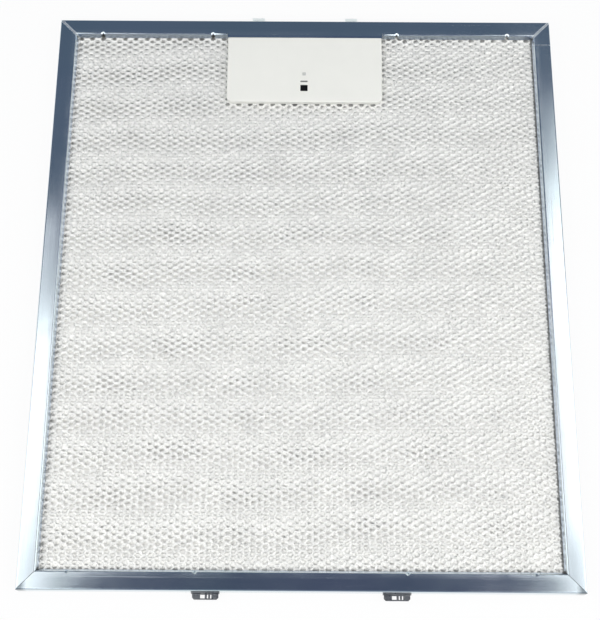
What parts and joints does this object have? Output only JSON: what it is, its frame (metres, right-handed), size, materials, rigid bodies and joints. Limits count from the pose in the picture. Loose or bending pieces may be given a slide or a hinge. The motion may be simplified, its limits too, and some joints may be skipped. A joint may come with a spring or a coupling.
{
  "type": "cooker hood grease filter",
  "caption": "Flat rectangular grease filter: expanded aluminium mesh layers in a folded, mitred frame, with a sprung release handle at one edge and fixed locating lugs at the other.",
  "frame": {"origin": "centre of the filter's outline on its back plane, which it lies on", "axes": "+X across the filter, +Y along it towards the handle edge, +Z out of the visible face"},
  "size_m": [0.267, 0.3122, 0.009],
  "materials": {
    "frame": "satin rolled strip",
    "mesh": "bright expanded foil",
    "handle": "off-white moulded",
    "guide": "off-white moulded",
    "spring": "spring steel strip",
    "lug": "zinc plated"
  },
  "bodies": {
    "filter": {"frame": "frame", "front_guard_mesh": "mesh", "filter_mesh_1": "mesh", "filter_mesh_2": "mesh", "filter_mesh_3": "mesh", "filter_mesh_4": "mesh", "filter_mesh_5": "mesh", "back_guard_mesh": "mesh", "latch_guide": "guide", "latch_spring": "spring", "lug_left": "lug", "lug_right": "lug"},
    "latch": {"handle_plate": "handle", "latch_slider": "handle"}
  },
  "joints": [
    {"name": "latch_slide", "type": "slide", "parent": "filter", "child": "latch", "axis": [0, -1, 0], "range_m": [0, 0.005], "stiffness_N_per_m": 400, "springref_m": -0.006, "deforming": ["latch_spring"]}
  ]
}
